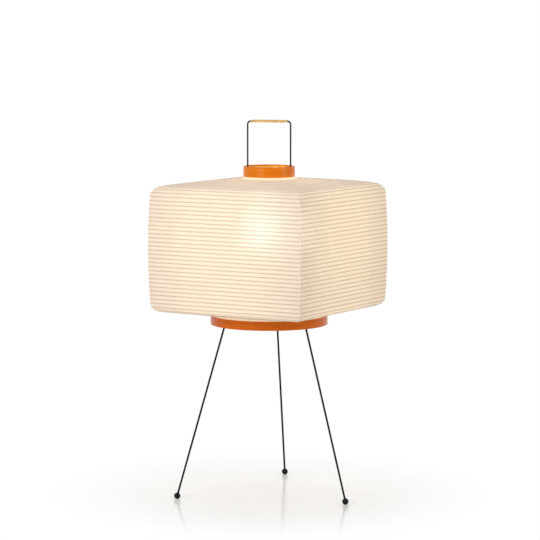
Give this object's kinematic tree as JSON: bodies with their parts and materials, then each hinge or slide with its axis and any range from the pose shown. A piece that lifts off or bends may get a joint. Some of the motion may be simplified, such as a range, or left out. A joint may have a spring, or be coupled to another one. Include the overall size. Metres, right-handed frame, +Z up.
{
  "type": "floor lamp",
  "caption": "Square paper lantern lamp with bamboo ribs, bentwood collars, a cane-wound wire handle and a wire tripod with ball feet.",
  "frame": {"origin": "on the floor below the lamp's axis, at the centre of the circle through the three feet", "axes": "+Z up along the lamp's axis; the shade's flat sides face +X, -X, +Y and -Y; the handle lies 21.5 degrees from +X towards +Y"},
  "size_m": [0.3795, 0.368, 0.76],
  "materials": {
    "paper": "matte",
    "bamboo": "matte",
    "lacquered_wood": "gloss",
    "plain_wood": "satin",
    "black_steel": "satin",
    "cane": "satin",
    "zinc_steel": "satin",
    "brass": "satin",
    "holder_black": "satin",
    "opal_glass": "satin",
    "cap_metal": "satin",
    "insulator": "gloss",
    "knurled_brass": "satin"
  },
  "bodies": {
    "frame": {"base_hoop": "black_steel", "cross_bar": "black_steel", "leg_socket_1": "black_steel", "leg_socket_2": "black_steel", "leg_socket_3": "black_steel", "collar_lugs": "black_steel", "handle_wire": "black_steel", "grip_cane": "cane", "upright_nuts": "zinc_steel", "stem_tube": "zinc_steel", "stem_nuts": "zinc_steel", "holder_cap": "holder_black", "holder_body": "holder_black", "threaded_shell": "brass", "centre_contact": "brass", "cord_bushing": "holder_black"},
    "shade": {"bottom_collar": "lacquered_wood", "bottom_inner_hoop": "plain_wood", "paper_panel_1": "paper", "paper_panel_2": "paper", "paper_panel_3": "paper", "paper_panel_4": "paper", "bamboo_ribs": "bamboo"},
    "collar": {"top_collar": "lacquered_wood", "top_inner_hoop": "plain_wood"},
    "ring": {"support_ring": "black_steel", "ring_clips": "zinc_steel"},
    "bulb": {"bulb_glass": "opal_glass", "bulb_cap": "cap_metal", "bulb_insulator": "insulator", "bulb_tip": "brass"},
    "leg_1": {"leg_rod_1": "black_steel", "foot_ball_1": "black_steel"},
    "leg_2": {"leg_rod_2": "black_steel", "foot_ball_2": "black_steel"},
    "leg_3": {"leg_rod_3": "black_steel", "foot_ball_3": "black_steel"},
    "nut_1": {"knurled_nut_1": "knurled_brass"},
    "nut_2": {"knurled_nut_2": "knurled_brass"}
  },
  "joints": [
    {"name": "shade_turn", "type": "hinge", "parent": "frame", "child": "shade", "pos_m": [0, 0, 0.352], "axis": [0, 0, 1], "continuous": true},
    {"name": "ring_slide", "type": "slide", "parent": "frame", "child": "ring", "axis": [0, 0, 1], "range_m": [-0.215, 0]},
    {"name": "collar_slide", "type": "slide", "parent": "shade", "child": "collar", "axis": [0, 0, 1], "range_m": [-0.215, 0], "deforming": ["paper_panel_1", "paper_panel_2", "paper_panel_3", "paper_panel_4", "bamboo_ribs"]},
    {"name": "bulb_turn", "type": "hinge", "parent": "frame", "child": "bulb", "pos_m": [0, 0, 0.4635], "axis": [0, 0, 1], "range_deg": [0, 900]},
    {"name": "leg_1_slide", "type": "slide", "parent": "frame", "child": "leg_1", "axis": [-0.1051, 0.2669, -0.958], "range_m": [0, 0.036]},
    {"name": "leg_2_slide", "type": "slide", "parent": "frame", "child": "leg_2", "axis": [-0.1786, -0.2245, -0.958], "range_m": [0, 0.036]},
    {"name": "leg_3_slide", "type": "slide", "parent": "frame", "child": "leg_3", "axis": [0.2837, -0.0424, -0.958], "range_m": [0, 0.036]},
    {"name": "nut_1_turn", "type": "hinge", "parent": "frame", "child": "nut_1", "pos_m": [-0.04075, -0.01605, 0.353], "axis": [0, 0, 1], "continuous": true},
    {"name": "nut_2_turn", "type": "hinge", "parent": "frame", "child": "nut_2", "pos_m": [0.04075, 0.01605, 0.353], "axis": [0, 0, 1], "continuous": true}
  ],
  "couplings": [
    {"joint": "collar_slide", "follows": "ring_slide", "ratio": 1}
  ]
}
